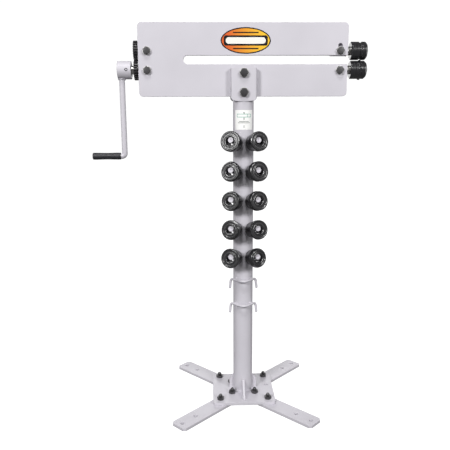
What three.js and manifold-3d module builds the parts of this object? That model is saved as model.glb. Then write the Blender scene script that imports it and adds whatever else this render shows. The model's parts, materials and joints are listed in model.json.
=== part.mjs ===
// A hand-cranked bead roller on a floor stand. Two geared shafts run behind a deep-throated frame plate.
// The lower shaft carries the crank, and the upper one tilts on its rear bearing block to open the dies.
// X runs along the shafts from crank to dies, +Y to the rear and +Z up. Millimetres.
import * as THREE from "three";
import { mergeVertices } from "three/addons/utils/BufferGeometryUtils.js";
import Module from "manifold-3d";

const wasm = await Module();
wasm.setup();

// ---------- driving dimensions ----------
const GAP = 0.3; // between pieces that touch
const PLAY = 1; // between pieces that move past each other
const FRAME = { length: 538, height: 183, thick: 10, corner: 10, middle: 928 };
const THROAT = { depth: 423, height: 22 }; // the slot that the sheet slides into, open at the dies' end
const SHAFT = { radius: 11, behind: 24, upper: 25, lower: -23 }; // heights from the frame's middle
const BLOCK = { length: 40, back: 43, rearX: -247, frontX: 249, far: 21, chamfer: 4 };
const BLOCK_BOLT = { radius: 5, reach: 7.6, upper: 22.5, lower: -25.5, lift: 12 };
const M10_HEAD = { flats: 17, height: 6.4, washer: 2, washerRadius: 10.5 };
const M12_HEAD = { flats: 19, height: 7.5, washer: 2, washerRadius: 12 };
const BUSH = { inner: 11.3, outer: 12.4, flange: 13.9, rim: 1.5 };
const GEAR = { teeth: 24, module: 2, addendum: 1.7, dedendum: 2.8, width: 11, left: -282.5 };
const DIE = { left: 281, width: 42, bore: 11.3 };
const DIE_SCREW = { radius: 4, reach: 16, flange: 12.5, flangeThick: 2, head: 6.5, end: 5 };
const CRANK = { hubLeft: -325.5, hubRight: -290, hubRadius: 23, bore: 27, armX: -316, rod: 7.5, throw: 222 };
const GRIP = { radius: 9.25, left: -401, right: -326.5, bore: 5.5 };
const POST = { radius: 27, wall: 3 };
const SADDLE = { width: 66.6, frontTop: -21, rearTop: -38, bottom: -105, wall: 5, corner: 8 };
const SADDLE_BOLT = { radius: 6, upper: -33.5, lower: -81.5 };
const BASE = { side: 172, thick: 8, corner: 10, boltsOuter: 65.5, boltsInner: 31.5 };
const LEG = { width: 50, thick: 8, start: 26, tip: 253, clip: 7, holes: [189, 236], bore: 5.5 };
const LEG_BOLT = { radius: 5, sink: 8, sinkDepth: 4, nut: 8, tip: 6 };
const GUSSET = {
  thick: 6,
  long: { base: 45, toe: 4, top: 4, height: 38 }, // front and rear
  short: { base: 11, toe: 28, top: 4, height: 42 }, // left and right
};
const PEG = { radius: 7.5, beside: 11.8, turn: 23, slope: 10, recess: 4.5 };
const ROWS = { top: 724.5, pitch: 76.6, count: 5, faceX: 37.8 }; // centres of the stored dies' front faces
const STORED = { radius: 26.2, rim: 14, hub: 21, width: 40, bore: 11.3 };
const HOOKS = { heights: [347.5, 277.5], radius: 3.5, drop: 24 };
const ADJUSTER = { radius: 5, bracket: [60, 70], width: 34, nut: 6, head: 7, headTop: 91 };

// ---------- colours and finishes ----------
const finish = (color, roughness, metalness) => ({ color, roughness, metalness });
const GREY_PAINT = finish(0xd3d1d8, 0.45, 0.1);
const BLACK_OXIDE = finish(0x2b2a2d, 0.4, 0.8);
const BARE_STEEL = finish(0xa8a8a6, 0.35, 0.9);
const BRONZE = finish(0xa97c46, 0.4, 0.9);
const BLACK_PLASTIC = finish(0x2a2a2f, 0.5, 0);

// ---------- shape helpers ----------
const turns = (degrees) => THREE.MathUtils.degToRad(degrees);

// A closed geometry as a solid, turned the right way out.
function solid(geometry) {
  const bare = new THREE.BufferGeometry();
  const flat = geometry.index ? geometry.toNonIndexed() : geometry;
  bare.setAttribute("position", flat.getAttribute("position"));
  const merged = mergeVertices(bare, 1e-3);
  const make = (triVerts) =>
    new wasm.Manifold(
      new wasm.Mesh({
        numProp: 3,
        vertProperties: merged.attributes.position.array,
        triVerts,
      }),
    );
  const faces = new Uint32Array(merged.index.array);
  const made = make(faces);
  return made.volume() < 0 ? make(faces.reverse()) : made;
}

function geometryOf(made) {
  const mesh = made.getMesh();
  const geometry = new THREE.BufferGeometry();
  geometry.setAttribute("position", new THREE.BufferAttribute(mesh.vertProperties, 3));
  geometry.setIndex(new THREE.BufferAttribute(mesh.triVerts, 1));
  return geometry;
}

const join = (first, ...others) => geometryOf(others.reduce((a, b) => a.add(solid(b)), solid(first)));
const cut = (first, ...tools) => geometryOf(tools.reduce((a, b) => a.subtract(solid(b)), solid(first)));
const common = (first, second) => geometryOf(solid(first).intersect(solid(second)));

// Points of an arc, from one angle to another in degrees, both ends included.
function arc(x, y, radius, from, to, steps) {
  return Array.from({ length: steps + 1 }, (_, i) => {
    const angle = turns(from + ((to - from) * i) / steps);
    return new THREE.Vector2(x + radius * Math.cos(angle), y + radius * Math.sin(angle));
  });
}

const circle = (x, y, radius, steps = 12) => arc(x, y, radius, 0, 360 - 360 / steps, steps - 1);

function roundedBox(width, height, radius, steps = 3) {
  const x = width / 2 - radius;
  const y = height / 2 - radius;
  return [
    ...arc(x, y, radius, 0, 90, steps),
    ...arc(-x, y, radius, 90, 180, steps),
    ...arc(-x, -y, radius, 180, 270, steps),
    ...arc(x, -y, radius, 270, 360, steps),
  ];
}

// An outline with holes, extruded from z = 0 to z = depth.
function slab(outline, depth, holes = []) {
  const shape = new THREE.Shape(outline);
  shape.holes = holes.map((hole) => new THREE.Path(hole));
  return new THREE.ExtrudeGeometry(shape, { depth, bevelEnabled: false });
}

const box = (x, y, z) => new THREE.BoxGeometry(x, y, z);

// A profile of [radius, height] pairs turned about the Z axis.
function turned(profile, segments = 20) {
  const points = profile.map(([radius, height]) => new THREE.Vector2(radius, height));
  return new THREE.LatheGeometry(points, segments).rotateX(Math.PI / 2);
}

// The closed profile of a ring: the outside's points, and a straight bore.
function ringProfile(inner, points) {
  const start = [inner, points[0][1]];
  return [start, ...points, [inner, points.at(-1)[1]], start];
}
const rod = (radius, from, to, segments = 16) =>
  turned([[0, from], [radius, from], [radius, to], [0, to]], segments);

// A hexagon bar along Z, measured across its flats.
const hexagon = (flats, from, to) => rod(flats / Math.sqrt(3), from, to, 6);

// Turns a piece made along Z so that it runs along +X, or along +Y.
const alongX = (geometry) => geometry.rotateY(Math.PI / 2);
const alongY = (geometry) => geometry.rotateX(-Math.PI / 2);

// Stands an XY outline's slab upright: its height becomes Z and it is thick from y = -depth to y = 0.
const upright = (geometry) => geometry.rotateX(Math.PI / 2);

function add(parent, name, geometry, look, x = 0, y = 0, z = 0) {
  const mesh = new THREE.Mesh(geometry, new THREE.MeshStandardMaterial(look));
  mesh.name = name;
  mesh.position.set(x, y, z);
  parent.add(mesh);
  return mesh;
}

// ---------- stand ----------
function legBoltProfile(extra = 0) {
  const { radius, sink, sinkDepth, nut, tip } = LEG_BOLT;
  return [
    [0, -extra],
    [sink + extra, -extra],
    [radius + extra, sinkDepth + extra],
    [radius + extra, LEG.thick + BASE.thick + nut + tip + extra],
  ];
}

// A flat-head bolt from below, with its nut on top of the base plate and its tip above the nut.
function legBolt() {
  const profile = legBoltProfile();
  const top = profile.at(-1)[1];
  const point = 2;
  const shank = turned([...profile, [LEG_BOLT.radius - 1.5, top + point], [0, top + point]], 12);
  const nutFrom = LEG.thick + BASE.thick + 2 * GAP;
  return join(shank, hexagon(M10_HEAD.flats, nutFrom, nutFrom + LEG_BOLT.nut));
}

// The hole that a leg bolt needs, with a pointed end that stands clear above the leg.
function legBoltTool() {
  const profile = legBoltProfile(GAP);
  return turned([...profile, [0, profile.at(-1)[1] + 10]], 12);
}

const boltReach = [BASE.boltsInner, BASE.boltsOuter].map((side) => side * Math.SQRT2);

function leg() {
  const { width, thick, start, tip, clip, holes, bore } = LEG;
  const half = width / 2;
  const outline = [
    [start, -half],
    [tip - clip, -half],
    [tip, clip - half],
    [tip, half - clip],
    [tip - clip, half],
    [start, half],
  ].map(([x, y]) => new THREE.Vector2(x, y));
  const bar = slab(outline, thick, holes.map((reach) => circle(reach, 0, bore)));
  return cut(bar, ...boltReach.map((reach) => legBoltTool().translate(reach, 0, 0)));
}

function basePlate() {
  const { side, thick, corner, boltsOuter, boltsInner } = BASE;
  const bore = LEG_BOLT.radius + GAP;
  const holes = [-1, 1].flatMap((sx) =>
    [-1, 1].flatMap((sy) =>
      [boltsInner, boltsOuter].map((reach) => circle(sx * reach, sy * reach, bore, 12)),
    ),
  );
  const spareHole = circle(69, 15, 6);
  return slab(roundedBox(side, side, corner), thick, [...holes, spareHole]);
}

function gusset({ base, toe, top, height }) {
  const { thick } = GUSSET;
  const outline = [
    [0, 0],
    [base, 0],
    [base, toe],
    [top, height],
    [0, height],
  ].map(([x, y]) => new THREE.Vector2(x, y));
  return upright(slab(outline, thick)).translate(0, thick / 2, 0);
}

// The direction of a peg: outward and to one side of the front, and sloping up so that a die can't slide off.
function pegDirection(side) {
  const flat = Math.cos(turns(PEG.slope));
  return new THREE.Vector3(
    side * Math.sin(turns(PEG.turn)) * flat,
    -Math.cos(turns(PEG.turn)) * flat,
    Math.sin(turns(PEG.slope)),
  );
}

// How far a stored die's front face stands from the middle of the post, measured along its peg.
const faceReach = (ROWS.faceX - PEG.beside) / Math.sin(turns(PEG.turn)) / Math.cos(turns(PEG.slope));
// A stored die hangs on its peg, so its own axis lies lower than the peg's.
const dieHang = STORED.bore - PEG.radius - GAP;

// A frame whose Z axis runs out along a peg, with its origin inside the post, beside the post's axis.
function pegFrame(side, row) {
  const out = pegDirection(side);
  const across = new THREE.Vector3(0, 0, 1).cross(out).normalize();
  const up = out.clone().cross(across);
  const height = ROWS.top - row * ROWS.pitch - faceReach * out.z + dieHang * up.z;
  return new THREE.Matrix4().makeBasis(across, up, out).setPosition(side * PEG.beside, 0, height);
}

function post(bottom, top) {
  const { radius, wall } = POST;
  const tube = turned(ringProfile(radius - wall, [[radius, bottom], [radius, top]]), 32);
  let made = solid(tube);
  const hollow = solid(rod(radius - wall, bottom, top, 32));
  for (let row = 0; row < ROWS.count; row++) {
    for (const side of [-1, 1]) {
      const end = faceReach - PEG.recess;
      const peg = rod(PEG.radius, 0, end, 12).applyMatrix4(pegFrame(side, row));
      made = made.add(solid(peg).subtract(hollow));
    }
  }
  // The saddle's two webs are let into the front and rear of the post's upper end.
  const depth = radius - SADDLE.wall - GAP;
  const notchFrom = FRAME.middle + SADDLE.bottom - GAP;
  const notchHeight = 100; // to well above the post's end
  for (const side of [-1, 1]) {
    const notch = box(2 * radius + 2, radius, notchHeight);
    notch.translate(0, side * (depth + radius / 2), notchFrom + notchHeight / 2);
    made = made.subtract(solid(notch));
  }
  return geometryOf(made);
}

// A round rod that bows forward past the post and hangs down at both ends.
function toolHook() {
  const { radius, drop } = HOOKS;
  const half = [
    [0, -41, 0],
    [12, -34.5, 0],
    [23, -21.5, 0],
    [31, -12.5, -1],
    [34.5, -11, -6],
    [35.5, -12, -15],
    [36.5, -13, -drop],
  ];
  const left = half.slice(1).reverse().map(([x, y, z]) => [-x, y, z]);
  const route = [...left, ...half].map(([x, y, z]) => new THREE.Vector3(x, y, z));
  const path = new THREE.CatmullRomCurve3(route);
  const section = new THREE.Shape(circle(0, 0, radius, 8));
  return new THREE.ExtrudeGeometry(section, { extrudePath: path, steps: 22, bevelEnabled: false });
}

// Half of the saddle: a channel whose two flanges meet the frame plate, rounded at the bottom.
function saddleHalf(top, boltHeights) {
  const { width, bottom, wall, corner } = SADDLE;
  const half = width / 2;
  const inner = half - wall - 1;
  const flangeEnd = FRAME.thick / 2 + GAP;
  const outline = [
    [-half, flangeEnd],
    [-inner, flangeEnd],
    [-inner, POST.radius - wall],
    [inner, POST.radius - wall],
    [inner, flangeEnd],
    [half, flangeEnd],
    [half, POST.radius],
    [-half, POST.radius],
  ].map(([x, y]) => new THREE.Vector2(x, y));
  const channel = slab(outline, top - bottom).translate(0, 0, bottom);
  const bulge = 6; // how far the lower edge bows down in the middle
  const elevation = [
    new THREE.Vector2(half + 1, top + 1),
    new THREE.Vector2(-half - 1, top + 1),
    new THREE.Vector2(-half - 1, bottom + bulge + corner),
    ...arc(corner - half, bottom + bulge + corner, corner, 180, 250, 3),
    new THREE.Vector2(0, bottom),
    ...arc(half - corner, bottom + bulge + corner, corner, 290, 360, 3),
    new THREE.Vector2(half + 1, bottom + bulge + corner),
  ];
  const reach = 2 * POST.radius; // well past the channel's web
  const envelope = upright(slab(elevation, 2 * reach)).translate(0, reach, 0);
  const bores = boltHeights.map((height) =>
    alongY(rod(SADDLE_BOLT.radius + GAP, 0, reach, 12)).translate(0, 0, height),
  );
  return cut(common(channel, envelope), ...bores);
}

// A bolt from the front half of the saddle through the frame plate, with a washer under its head.
// `back` is the face that its nut sits on.
function saddleBolt(back, nutHeight) {
  const face = POST.radius + GAP;
  const { flats, height, washer, washerRadius } = M12_HEAD;
  const shank = rod(SADDLE_BOLT.radius, -face - 1, back + nutHeight + 1, 12);
  const head = hexagon(flats, -face - washer - height, -face - washer);
  const nut = hexagon(flats, back, back + nutHeight);
  return alongY(join(shank, rod(washerRadius, -face - washer, -face), head, nut));
}

// ---------- frame ----------
const throatEnd = FRAME.length / 2 - THROAT.depth;
const saddleBoltHeights = [SADDLE_BOLT.upper, SADDLE_BOLT.lower];

function framePlate() {
  const { length, height, thick, corner } = FRAME;
  const half = THROAT.height / 2;
  const right = length / 2;
  const top = height / 2;
  const small = 3; // radius of the corners at the throat's mouth
  const outline = [
    ...arc(right - small, half + small, small, 270, 360, 2),
    ...arc(right - corner, top - corner, corner, 0, 90, 3),
    ...arc(corner - right, top - corner, corner, 90, 180, 3),
    ...arc(corner - right, corner - top, corner, 180, 270, 3),
    ...arc(right - corner, corner - top, corner, 270, 360, 3),
    ...arc(right - small, -half - small, small, 0, 90, 2),
    ...arc(throatEnd + half, 0, half, 270, 90, 10),
  ];
  const bore = BLOCK_BOLT.radius + GAP;
  const slot = BLOCK_BOLT.radius + PLAY;
  const slotTop = BLOCK_BOLT.upper + BLOCK_BOLT.lift + 0.5;
  const holes = [
    circle(BLOCK.rearX, BLOCK_BOLT.upper, bore, 12),
    circle(BLOCK.rearX, BLOCK_BOLT.lower, bore, 12),
    circle(BLOCK.frontX, BLOCK_BOLT.lower, bore, 12),
    [
      ...arc(BLOCK.frontX, slotTop, slot, 0, 180, 6),
      ...arc(BLOCK.frontX, BLOCK_BOLT.upper, slot, 180, 360, 6),
    ],
    ...saddleBoltHeights.map((z) => circle(0, z, SADDLE_BOLT.radius + GAP, 12)),
  ];
  return upright(slab(outline, thick, holes)).translate(0, thick / 2, 0);
}

// A bearing block with its bore along X. It is made about its shaft's axis; `side` is +1 for the upper ones.
function bearingBlock(side, boltOffset) {
  const front = FRAME.thick / 2 + GAP - SHAFT.behind;
  const back = BLOCK.back - SHAFT.behind;
  const near = 13.2; // from the shaft's axis to the throat side, which slopes away behind the axis
  const { far, chamfer } = BLOCK;
  const outline = [
    [-side * far, front],
    [side * near, front],
    [side * near, 3],
    [side * (near - 5), back],
    [-side * (far - chamfer), back],
    [-side * far, back - chamfer],
  ].map(([x, y]) => new THREE.Vector2(x, y));
  // The outline's X becomes -Z when the slab is laid along X.
  const body = alongX(slab(outline, BLOCK.length, [circle(0, 0, BUSH.outer + GAP, 16)]));
  const boltEnd = BLOCK_BOLT.reach - SHAFT.behind + GAP;
  const boltHole = alongY(rod(BLOCK_BOLT.radius + GAP, front - 5, boltEnd, 12));
  return cut(body.translate(-BLOCK.length / 2, 0, 0), boltHole.translate(0, 0, boltOffset));
}

// A flanged bush. `out` is the side, along X, on which its flange stands clear of the block.
function bush(out) {
  const end = BLOCK.length / 2;
  const profile = ringProfile(BUSH.inner, [
    [BUSH.outer, -end],
    [BUSH.outer, end + GAP],
    [BUSH.flange, end + GAP],
    [BUSH.flange, end + GAP + BUSH.rim],
  ]);
  const made = alongX(turned(profile, 16));
  return out > 0 ? made : made.rotateZ(Math.PI);
}

// A bolt from the front of the frame plate into a block, with a washer under its head.
function blockBolt() {
  const face = -FRAME.thick / 2 - GAP;
  const { flats, height, washer, washerRadius } = M10_HEAD;
  const shank = rod(BLOCK_BOLT.radius, face - 1, BLOCK_BOLT.reach, 12);
  const head = hexagon(flats, face - washer - height, face - washer);
  return alongY(join(shank, rod(washerRadius, face - washer, face), head));
}

// ---------- adjuster, behind the frame plate and above the front upper block ----------
function adjusterBracket() {
  const [bottom, top] = ADJUSTER.bracket;
  const front = FRAME.thick / 2 + GAP;
  const middle = (BLOCK.back + front) / 2;
  const outline = roundedBox(ADJUSTER.width, BLOCK.back - front, 5);
  const bore = circle(0, SHAFT.behind - middle, ADJUSTER.radius + GAP, 12);
  return slab(outline, top - bottom, [bore]).translate(0, middle, bottom);
}

const blockTop = SHAFT.upper + BLOCK.far;

function adjusterScrew() {
  const { radius, head, headTop } = ADJUSTER;
  const shank = rod(radius, blockTop + GAP, headTop - 3, 12);
  return join(shank, hexagon(M10_HEAD.flats, headTop - head, headTop));
}

function lockNut() {
  const [, top] = ADJUSTER.bracket;
  const nut = hexagon(M10_HEAD.flats, top + GAP, top + GAP + ADJUSTER.nut);
  return cut(nut, rod(ADJUSTER.radius + GAP, top, top + 2 * ADJUSTER.nut, 12));
}

// ---------- drive ----------
const dieRight = DIE.left + DIE.width;

// A shaft from x = left to just inside the dies' outer face, with a hole in its end for the die's screw.
function shaft(left) {
  const right = dieRight - 1;
  const hole = alongX(rod(DIE_SCREW.radius + GAP, right - DIE_SCREW.reach - 2, right + 1, 12));
  return cut(alongX(rod(SHAFT.radius, left, right, 24)), hole);
}

// A spur gear, made about the Z axis. `phase` turns its first tooth, in degrees.
function spurGear(phase) {
  const { teeth, module, addendum, dedendum, width } = GEAR;
  const pitch = (teeth * module) / 2;
  const step = 360 / teeth;
  // Each flank point is a radius, and half the tooth's thickness as a share of the step.
  const flank = [
    [pitch - dedendum, 0.31],
    [pitch + addendum, 0.12],
  ];
  const tooth = [...flank.map(([r, w]) => [r, -w]), ...flank.toReversed()];
  const outline = Array.from({ length: teeth }, (_, i) =>
    tooth.map(([radius, share]) => {
      const angle = turns(phase + (i + share) * step);
      return new THREE.Vector2(radius * Math.cos(angle), radius * Math.sin(angle));
    }),
  ).flat();
  return slab(outline, width, [circle(0, 0, DIE.bore, 16)]);
}

// The lower die has a bead ridge near its outer end, and the upper die has the groove that it runs in.
const beadAt = 25;
const ridge = [[23, beadAt - 3], [25.8, beadAt - 1], [25.8, beadAt + 1], [23, beadAt + 3]];
const groove = [[23, beadAt - 4], [20.3, beadAt - 1], [20.3, beadAt + 1], [23, beadAt + 4]];
const LOWER_DIE = [[21, 0], [23, 2], ...ridge, [23, 37], [18.5, DIE.width]];
const UPPER_DIE = [[21, 0], [23, 2], ...groove, [23, 38], [19, DIE.width]];
const mountedDie = (profile) => alongX(turned(ringProfile(DIE.bore, profile)));

function dieScrew() {
  const { radius, reach, flange, flangeThick, head, end } = DIE_SCREW;
  return alongX(join(rod(radius, -reach, 1, 12), rod(flange, GAP, flangeThick), rod(head, 1, end, 12)));
}

// Hub, arm and grip spindle in one, made about the lower shaft's axis, with the arm hanging down.
function crank() {
  const { hubLeft, hubRight, hubRadius, bore, armX, rod: radius, throw: reach } = CRANK;
  const chamfer = 1.5;
  const boreEnd = hubRight - bore;
  const hub = alongX(
    turned([
      [0, hubLeft],
      [hubRadius - chamfer, hubLeft],
      [hubRadius, hubLeft + chamfer],
      [hubRadius, hubRight - chamfer],
      [hubRadius - chamfer, hubRight],
      [DIE.bore, hubRight],
      [DIE.bore, boreEnd],
      [0, boreEnd],
    ], 24),
  );
  const arm = rod(radius, -reach, 3 - hubRadius, 12).translate(armX, 0, 0);
  const elbow = new THREE.SphereGeometry(radius, 12, 8).rotateX(Math.PI / 2).translate(armX, 0, -reach);
  const foot = alongX(rod(radius, GRIP.right + 1, armX, 12)).translate(0, 0, -reach);
  const spindle = alongX(rod(GRIP.bore - GAP, GRIP.left + 6, armX, 12)).translate(0, 0, -reach);
  return join(hub, arm, elbow, foot, spindle);
}

function grip() {
  const { radius, left, right, bore } = GRIP;
  const lip = 2.5;
  const endWall = 5;
  return alongX(
    turned([
      [0, left],
      [radius - lip, left],
      [radius, left + lip],
      [radius, right - lip],
      [radius - lip, right],
      [bore, right],
      [bore, left + endWall],
      [0, left + endWall],
    ], 16),
  );
}

// ---------- stored dies, one pair of forms to a peg row ----------
// Each form is the rim's outline from the hub to the front face, in [radius, height below the front face].
const R = STORED.radius;
const FORMS = [
  { left: [[R, 14], [R, 2], [R - 2, 0]], right: [[R - 1, 14], [R - 1, 2], [R - 3, 0]] },
  { left: [[R - 4, 14], [R, 9], [R, 6], [R - 3, 0]], right: [[R, 14], [R - 4, 8], [R, 2], [R - 2, 0]] },
  { left: [[R - 3, 14], [R, 8], [R - 3, 0]], right: [[R, 14], [R - 3, 8], [R - 1, 1], [R - 2, 0]] },
  { left: [[R, 14], [R, 6], [R - 4, 5], [R - 4, 0]], right: [[R - 4, 14], [R - 4, 7], [R, 6], [R - 1, 0]] },
  { left: [[R - 5, 14], [R, 5], [R, 2], [R - 2, 0]], right: [[R, 14], [R, 9], [R - 4, 1], [R - 5, 0]] },
];

function storedDie(form) {
  const { hub, rim, width, bore } = STORED;
  const outline = form.map(([radius, below]) => [radius, -below]);
  return turned(ringProfile(bore, [[hub, -width], [hub, -rim], ...outline]), 16);
}

// ---------- assembly ----------
const machine = new THREE.Group();
const baseTop = LEG.thick + BASE.thick + GAP;

const stand = new THREE.Group();
machine.add(stand);
const corners = { front_left: 225, front_right: 315, rear_left: 135, rear_right: 45 };
for (const [corner, angle] of Object.entries(corners)) {
  const quarter = new THREE.Group();
  quarter.rotation.z = turns(angle);
  stand.add(quarter);
  add(quarter, `leg_${corner}`, leg(), GREY_PAINT);
  add(quarter, `leg_bolt_inner_${corner}`, legBolt(), BLACK_OXIDE, boltReach[0], 0, 0);
  add(quarter, `leg_bolt_outer_${corner}`, legBolt(), BLACK_OXIDE, boltReach[1], 0, 0);
}
add(stand, "base_plate", basePlate(), GREY_PAINT, 0, 0, LEG.thick + GAP);
const postBottom = baseTop + GAP;
const postTop = FRAME.middle - FRAME.height / 2 - 1;
add(stand, "post", post(postBottom, postTop), GREY_PAINT);
const gussets = { right: 0, rear: 90, left: 180, front: 270 };
for (const [side, angle] of Object.entries(gussets)) {
  const spoke = new THREE.Group();
  spoke.rotation.z = turns(angle);
  stand.add(spoke);
  const size = side === "front" || side === "rear" ? GUSSET.long : GUSSET.short;
  add(spoke, `gusset_${side}`, gusset(size), GREY_PAINT, POST.radius + GAP, 0, postBottom);
}
HOOKS.heights.forEach((height, i) => {
  add(stand, `tool_hook_${["upper", "lower"][i]}`, toolHook(), GREY_PAINT, 0, 0, height);
});

FORMS.forEach((form, row) => {
  for (const [name, side] of [["left", -1], ["right", 1]]) {
    const hanger = new THREE.Group();
    pegFrame(side, row).decompose(hanger.position, hanger.quaternion, hanger.scale);
    stand.add(hanger);
    add(hanger, `stored_die_${name}_${row + 1}`, storedDie(form[name]), BLACK_OXIDE, 0, -dieHang, faceReach);
  }
});

const head = new THREE.Group();
head.position.z = FRAME.middle;
machine.add(head);
add(head, "frame_plate", framePlate(), GREY_PAINT);
add(head, "saddle_rear", saddleHalf(SADDLE.rearTop, [SADDLE_BOLT.lower]), GREY_PAINT);
add(head, "saddle_front", saddleHalf(SADDLE.frontTop, saddleBoltHeights), GREY_PAINT).rotation.z = Math.PI;
// The lower shaft runs close behind the upper bolt, which so ends in a thin nut on the frame plate.
const plateBack = FRAME.thick / 2 + GAP;
add(head, "saddle_bolt_upper", saddleBolt(plateBack, 5), BLACK_OXIDE, 0, 0, SADDLE_BOLT.upper);
add(head, "saddle_bolt_lower", saddleBolt(POST.radius + GAP, 10), BLACK_OXIDE, 0, 0, SADDLE_BOLT.lower);

for (const [level, side, boltHeight] of [["upper", 1, BLOCK_BOLT.upper], ["lower", -1, BLOCK_BOLT.lower]]) {
  const height = SHAFT[level];
  for (const [end, x, out] of [["rear", BLOCK.rearX, -1], ["front", BLOCK.frontX, 1]]) {
    const block = bearingBlock(side, boltHeight - height);
    add(head, `bearing_block_${end}_${level}`, block, GREY_PAINT, x, SHAFT.behind, height);
    add(head, `bush_${end}_${level}`, bush(out), BRONZE, x, SHAFT.behind, height);
    add(head, `block_bolt_${end}_${level}`, blockBolt(), BLACK_OXIDE, x, 0, boltHeight);
  }
}
add(head, "adjuster_bracket", adjusterBracket(), GREY_PAINT, BLOCK.frontX);
add(head, "adjuster_screw", adjusterScrew(), BLACK_OXIDE, BLOCK.frontX, SHAFT.behind);
add(head, "adjuster_lock_nut", lockNut(), BLACK_OXIDE, BLOCK.frontX, SHAFT.behind);

const drives = {
  upper: { left: GEAR.left - 1.5, profile: UPPER_DIE, tooth: 0.5 },
  lower: { left: CRANK.hubRight - CRANK.bore + PLAY, profile: LOWER_DIE, tooth: 0 },
};
for (const [level, { left, profile, tooth }] of Object.entries(drives)) {
  const line = new THREE.Group();
  line.position.set(0, SHAFT.behind, SHAFT[level]);
  head.add(line);
  add(line, `${level}_shaft`, shaft(left), BARE_STEEL);
  add(line, `${level}_gear`, alongX(spurGear((tooth * 360) / GEAR.teeth)), BLACK_OXIDE, GEAR.left);
  add(line, `${level}_die`, mountedDie(profile), BLACK_OXIDE, DIE.left);
  add(line, `${level}_die_screw`, dieScrew(), BARE_STEEL, dieRight);
  if (level === "lower") {
    add(line, "crank", crank(), GREY_PAINT);
    add(line, "crank_grip", grip(), BLACK_PLASTIC, 0, 0, -CRANK.throw);
  }
}

// The origin is on the floor, midway between the grip's end and the die screws' ends.
machine.position.x = -(GRIP.left + dieRight + DIE_SCREW.end) / 2;

export default machine;
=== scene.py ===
"""Builds the looks of a hand-cranked bead roller on a floor stand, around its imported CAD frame.

Shapes are modelled in millimetres about an axis of their own, and then placed in the frame, which is in
metres. X runs along the shafts from the crank to the dies, +Y to the rear and +Z up.
"""

import json
import math

import bmesh
import bpy
from bpy.props import FloatProperty, FloatVectorProperty, PointerProperty
from mathutils import Matrix, Vector


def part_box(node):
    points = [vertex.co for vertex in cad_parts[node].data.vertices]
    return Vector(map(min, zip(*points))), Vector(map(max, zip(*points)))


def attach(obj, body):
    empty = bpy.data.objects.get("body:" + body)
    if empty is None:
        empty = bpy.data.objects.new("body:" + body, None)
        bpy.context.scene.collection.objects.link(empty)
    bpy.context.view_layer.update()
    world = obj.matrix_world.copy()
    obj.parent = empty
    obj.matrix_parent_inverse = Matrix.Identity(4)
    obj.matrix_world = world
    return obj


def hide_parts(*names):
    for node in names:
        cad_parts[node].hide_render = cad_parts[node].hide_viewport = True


bl_info = {
    "name": "Bead Roller",
    "version": (1, 0, 0),
    "blender": (4, 5, 0),
    "location": "View3D > Sidebar > Bead Roller",
    "description": "Builds a hand-cranked bead roller on a floor stand around its packed frame",
    "category": "Add Mesh",
}

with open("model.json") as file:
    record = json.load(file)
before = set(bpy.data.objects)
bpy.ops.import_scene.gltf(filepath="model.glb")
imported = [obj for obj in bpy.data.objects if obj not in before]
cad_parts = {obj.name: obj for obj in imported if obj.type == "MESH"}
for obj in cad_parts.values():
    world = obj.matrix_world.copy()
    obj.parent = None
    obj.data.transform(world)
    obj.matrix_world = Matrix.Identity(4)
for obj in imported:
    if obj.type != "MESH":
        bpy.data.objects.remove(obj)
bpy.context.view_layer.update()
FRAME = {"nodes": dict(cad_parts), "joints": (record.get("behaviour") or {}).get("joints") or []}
JOINTS = {joint["name"]: joint for joint in FRAME["joints"]}
MM = 0.001


def span(node):
    """The lowest and highest corners of a CAD node, in millimetres."""
    low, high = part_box(node)
    return low / MM, high / MM


def linear(code):
    """A hex colour, as it looks on a screen, in the linear values that shaders work in."""
    values = [int(code[i : i + 2], 16) / 255 for i in (0, 2, 4)]
    return tuple(v / 12.92 if v <= 0.04045 else ((v + 0.055) / 1.055) ** 2.4 for v in values)


# ---------- sizes that the pieces share, in millimetres ----------
PLATE_LOW, PLATE_HIGH = span("frame_plate")
HEAD = (PLATE_LOW + PLATE_HIGH) / 2
POST_LOW, POST_HIGH = span("post")
FOOT = Vector(((POST_LOW.x + POST_HIGH.x) / 2, 0, 0))
POST_RADIUS = 27
POST_WALL = 3
THROAT_HALF = 11
THROAT_DEPTH = 423
M10 = {"flats": 17, "height": 6.4, "washer": 2, "washer_radius": 10.5, "shank": 5}
M12 = {"flats": 19, "height": 7.5, "washer": 2, "washer_radius": 12, "shank": 6}
SHAFT_RADIUS = 11
PEG_RADIUS = 7.5
PEG_RECESS = 4.5
DIE_HANG = 3.5  # a stored die's bore is wider than its peg, so its axis hangs this much lower

# ---------- finishes ---------------------------------------------------------------
PAINT = "light grey powder coat"
POLISHED = "oiled black oxide, polished"
FASTENER = "black oxide fastener"
STEEL = "ground steel bar"
ZINC = "bright zinc plate"
BRONZE = "sintered bronze"
NYLON = "moulded black nylon"
CRISP = math.radians(38)  # an edge that turns more than this stays crisp
CLOUD_SPREAD = (0.3, 0.7)  # the values that most of a noise pattern lies between

# ---------- placing ----------
ALONG_X = Matrix.Rotation(math.pi / 2, 4, "Y")
# A drawing's X stays X, and its Y becomes Z.
TO_FRONT = Matrix.Rotation(math.pi / 2, 4, "X")
# A drawing's X becomes Y, and its Y becomes Z.
TO_SIDE = Matrix(((0, 0, 1, 0), (1, 0, 0, 0), (0, 1, 0, 0), (0, 0, 0, 1)))
UPSIDE_DOWN = Matrix.Rotation(math.pi, 4, "X")


def at(x, y, z):
    return Matrix.Translation((x, y, z))


def placed(bm, *moves):
    """Moves a shape, after keeping each vertex's place about the shape's own axis for the patterns."""
    if bm.verts.layers.float_vector.get("own") is None:
        own = bm.verts.layers.float_vector.new("own")
        for vert in bm.verts:
            vert[own] = vert.co
    for move in reversed(moves):
        bmesh.ops.transform(bm, matrix=move, verts=bm.verts[:])
    return bm


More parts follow.
